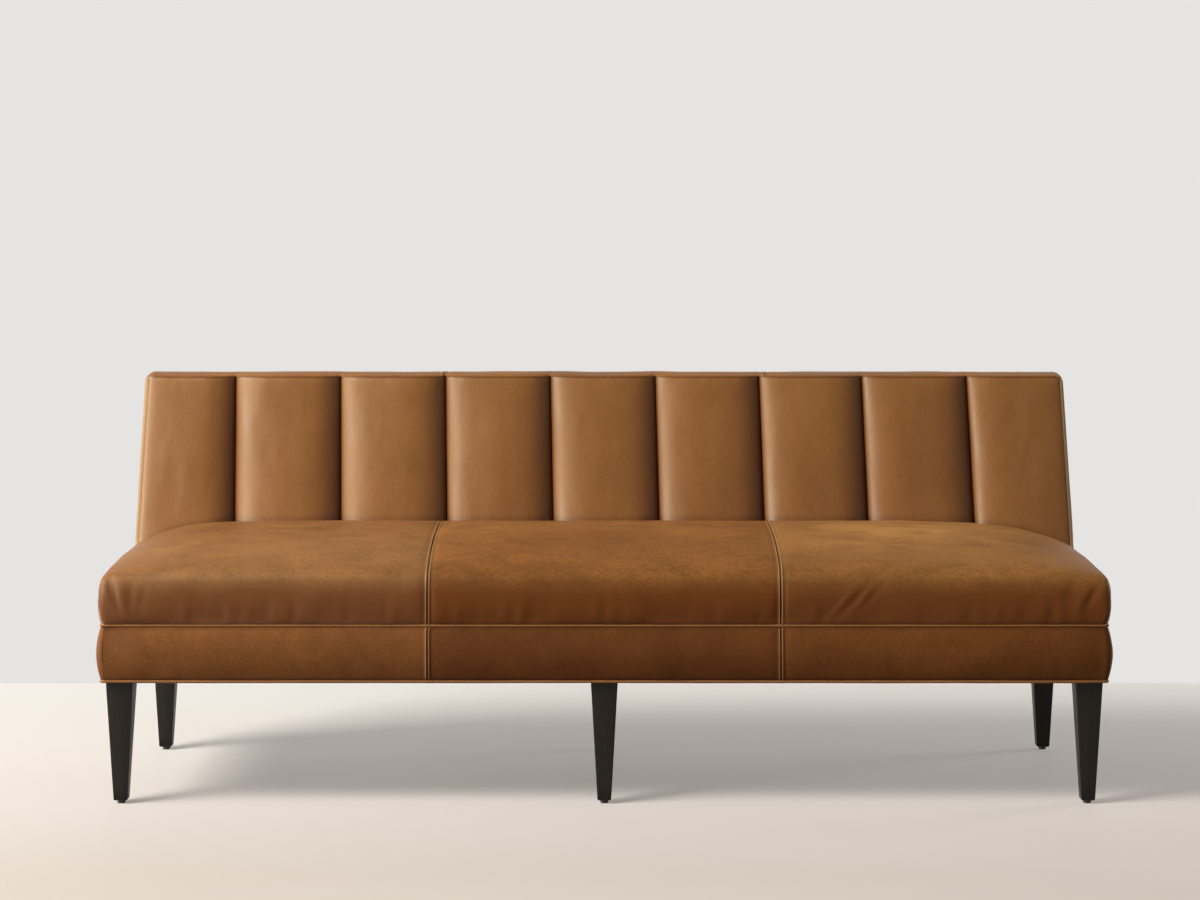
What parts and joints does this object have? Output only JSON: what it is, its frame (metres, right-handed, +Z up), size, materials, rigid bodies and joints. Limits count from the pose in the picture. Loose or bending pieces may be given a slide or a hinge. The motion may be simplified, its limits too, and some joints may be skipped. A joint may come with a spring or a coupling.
{
  "type": "upholstered banquette bench",
  "caption": "Armless banquette bench with a crowned leather seat on a boxed base, a raked back with upright channels, and tapered wooden legs on screw glides.",
  "frame": {"origin": "on the floor, under the middle of the bench", "axes": "+X along the bench to the right in the picture, -Y to the front, +Z up"},
  "size_m": [2.1134, 0.65, 0.87],
  "materials": {
    "frame_timber": "planed beech, bare",
    "plywood": "birch plywood, bare",
    "zinc_steel": "bright zinc plate",
    "webbing": "woven elastic webbing",
    "felt": "needled felt",
    "foam": "high-resilience foam",
    "tan_leather": "tan aniline leather, satin",
    "leather_piping": "tan leather over cord",
    "dust_cloth": "black non-woven cloth",
    "espresso_wood": "espresso stain, satin lacquer",
    "nylon": "moulded, matt"
  },
  "bodies": {
    "bench": {"front_rail": "frame_timber", "seat_back_rail": "frame_timber", "rear_rail": "frame_timber", "end_rails": "frame_timber", "cross_rails": "frame_timber", "leg_blocks": "frame_timber", "back_stile_left": "frame_timber", "back_stile_right": "frame_timber", "inner_stiles": "frame_timber", "back_top_rail": "frame_timber", "back_panel": "plywood", "stile_gussets": "plywood", "gusset_bolts": "zinc_steel", "leg_bolts": "zinc_steel", "threaded_inserts": "zinc_steel", "seat_webbing": "webbing", "deck_pad": "felt", "seat_foam": "foam", "seat_cover_left": "tan_leather", "seat_cover_center": "tan_leather", "seat_cover_right": "tan_leather", "base_band_left": "tan_leather", "base_band_center": "tan_leather", "base_band_right": "tan_leather", "base_end_left": "tan_leather", "base_end_right": "tan_leather", "back_boxing_left": "tan_leather", "back_boxing_center": "tan_leather", "back_boxing_right": "tan_leather", "outside_back": "tan_leather", "back_channel_1": "tan_leather", "back_channel_2": "tan_leather", "back_channel_3": "tan_leather", "back_channel_4": "tan_leather", "back_channel_5": "tan_leather", "back_channel_6": "tan_leather", "back_channel_7": "tan_leather", "back_channel_8": "tan_leather", "back_channel_9": "tan_leather", "seat_welt": "leather_piping", "base_welt": "leather_piping", "dust_cover": "dust_cloth", "leg_front_left": "espresso_wood", "leg_front_center": "espresso_wood", "leg_front_right": "espresso_wood", "leg_rear_left": "espresso_wood", "leg_rear_center": "espresso_wood", "leg_rear_right": "espresso_wood"},
    "pad_front_left": {"glide_pad_front_left": "nylon"},
    "stud_front_left": {"glide_stud_front_left": "zinc_steel"},
    "pad_front_center": {"glide_pad_front_center": "nylon"},
    "stud_front_center": {"glide_stud_front_center": "zinc_steel"},
    "pad_front_right": {"glide_pad_front_right": "nylon"},
    "stud_front_right": {"glide_stud_front_right": "zinc_steel"},
    "pad_rear_left": {"glide_pad_rear_left": "nylon"},
    "stud_rear_left": {"glide_stud_rear_left": "zinc_steel"},
    "pad_rear_center": {"glide_pad_rear_center": "nylon"},
    "stud_rear_center": {"glide_stud_rear_center": "zinc_steel"},
    "pad_rear_right": {"glide_pad_rear_right": "nylon"},
    "stud_rear_right": {"glide_stud_rear_right": "zinc_steel"}
  },
  "joints": [
    {"name": "glide_travel_front_left", "type": "slide", "parent": "bench", "child": "pad_front_left", "axis": [0, 0, -1], "range_m": [0, 0.0075]},
    {"name": "glide_turn_front_left", "type": "hinge", "parent": "pad_front_left", "child": "stud_front_left", "pos_m": [-1.0115, -0.2815, 0], "axis": [0, 0, -1], "range_deg": [0, 2165]},
    {"name": "glide_travel_front_center", "type": "slide", "parent": "bench", "child": "pad_front_center", "axis": [0, 0, -1], "range_m": [0, 0.0075]},
    {"name": "glide_turn_front_center", "type": "hinge", "parent": "pad_front_center", "child": "stud_front_center", "pos_m": [0, -0.2815, 0], "axis": [0, 0, -1], "range_deg": [0, 2165]},
    {"name": "glide_travel_front_right", "type": "slide", "parent": "bench", "child": "pad_front_right", "axis": [0, 0, -1], "range_m": [0, 0.0075]},
    {"name": "glide_turn_front_right", "type": "hinge", "parent": "pad_front_right", "child": "stud_front_right", "pos_m": [1.0115, -0.2815, 0], "axis": [0, 0, -1], "range_deg": [0, 2165]},
    {"name": "glide_travel_rear_left", "type": "slide", "parent": "bench", "child": "pad_rear_left", "axis": [0, 0, -1], "range_m": [0, 0.0075]},
    {"name": "glide_turn_rear_left", "type": "hinge", "parent": "pad_rear_left", "child": "stud_rear_left", "pos_m": [-1.0115, 0.2865, 0], "axis": [0, 0, -1], "range_deg": [0, 2165]},
    {"name": "glide_travel_rear_center", "type": "slide", "parent": "bench", "child": "pad_rear_center", "axis": [0, 0, -1], "range_m": [0, 0.0075]},
    {"name": "glide_turn_rear_center", "type": "hinge", "parent": "pad_rear_center", "child": "stud_rear_center", "pos_m": [0, 0.2865, 0], "axis": [0, 0, -1], "range_deg": [0, 2165]},
    {"name": "glide_travel_rear_right", "type": "slide", "parent": "bench", "child": "pad_rear_right", "axis": [0, 0, -1], "range_m": [0, 0.0075]},
    {"name": "glide_turn_rear_right", "type": "hinge", "parent": "pad_rear_right", "child": "stud_rear_right", "pos_m": [1.0115, 0.2865, 0], "axis": [0, 0, -1], "range_deg": [0, 2165]}
  ],
  "couplings": [
    {"joint": "glide_turn_front_left", "follows": "glide_travel_front_left", "rad_per_m": 5026.5},
    {"joint": "glide_turn_front_center", "follows": "glide_travel_front_center", "rad_per_m": 5026.5},
    {"joint": "glide_turn_front_right", "follows": "glide_travel_front_right", "rad_per_m": 5026.5},
    {"joint": "glide_turn_rear_left", "follows": "glide_travel_rear_left", "rad_per_m": 5026.5},
    {"joint": "glide_turn_rear_center", "follows": "glide_travel_rear_center", "rad_per_m": 5026.5},
    {"joint": "glide_turn_rear_right", "follows": "glide_travel_rear_right", "rad_per_m": 5026.5}
  ]
}
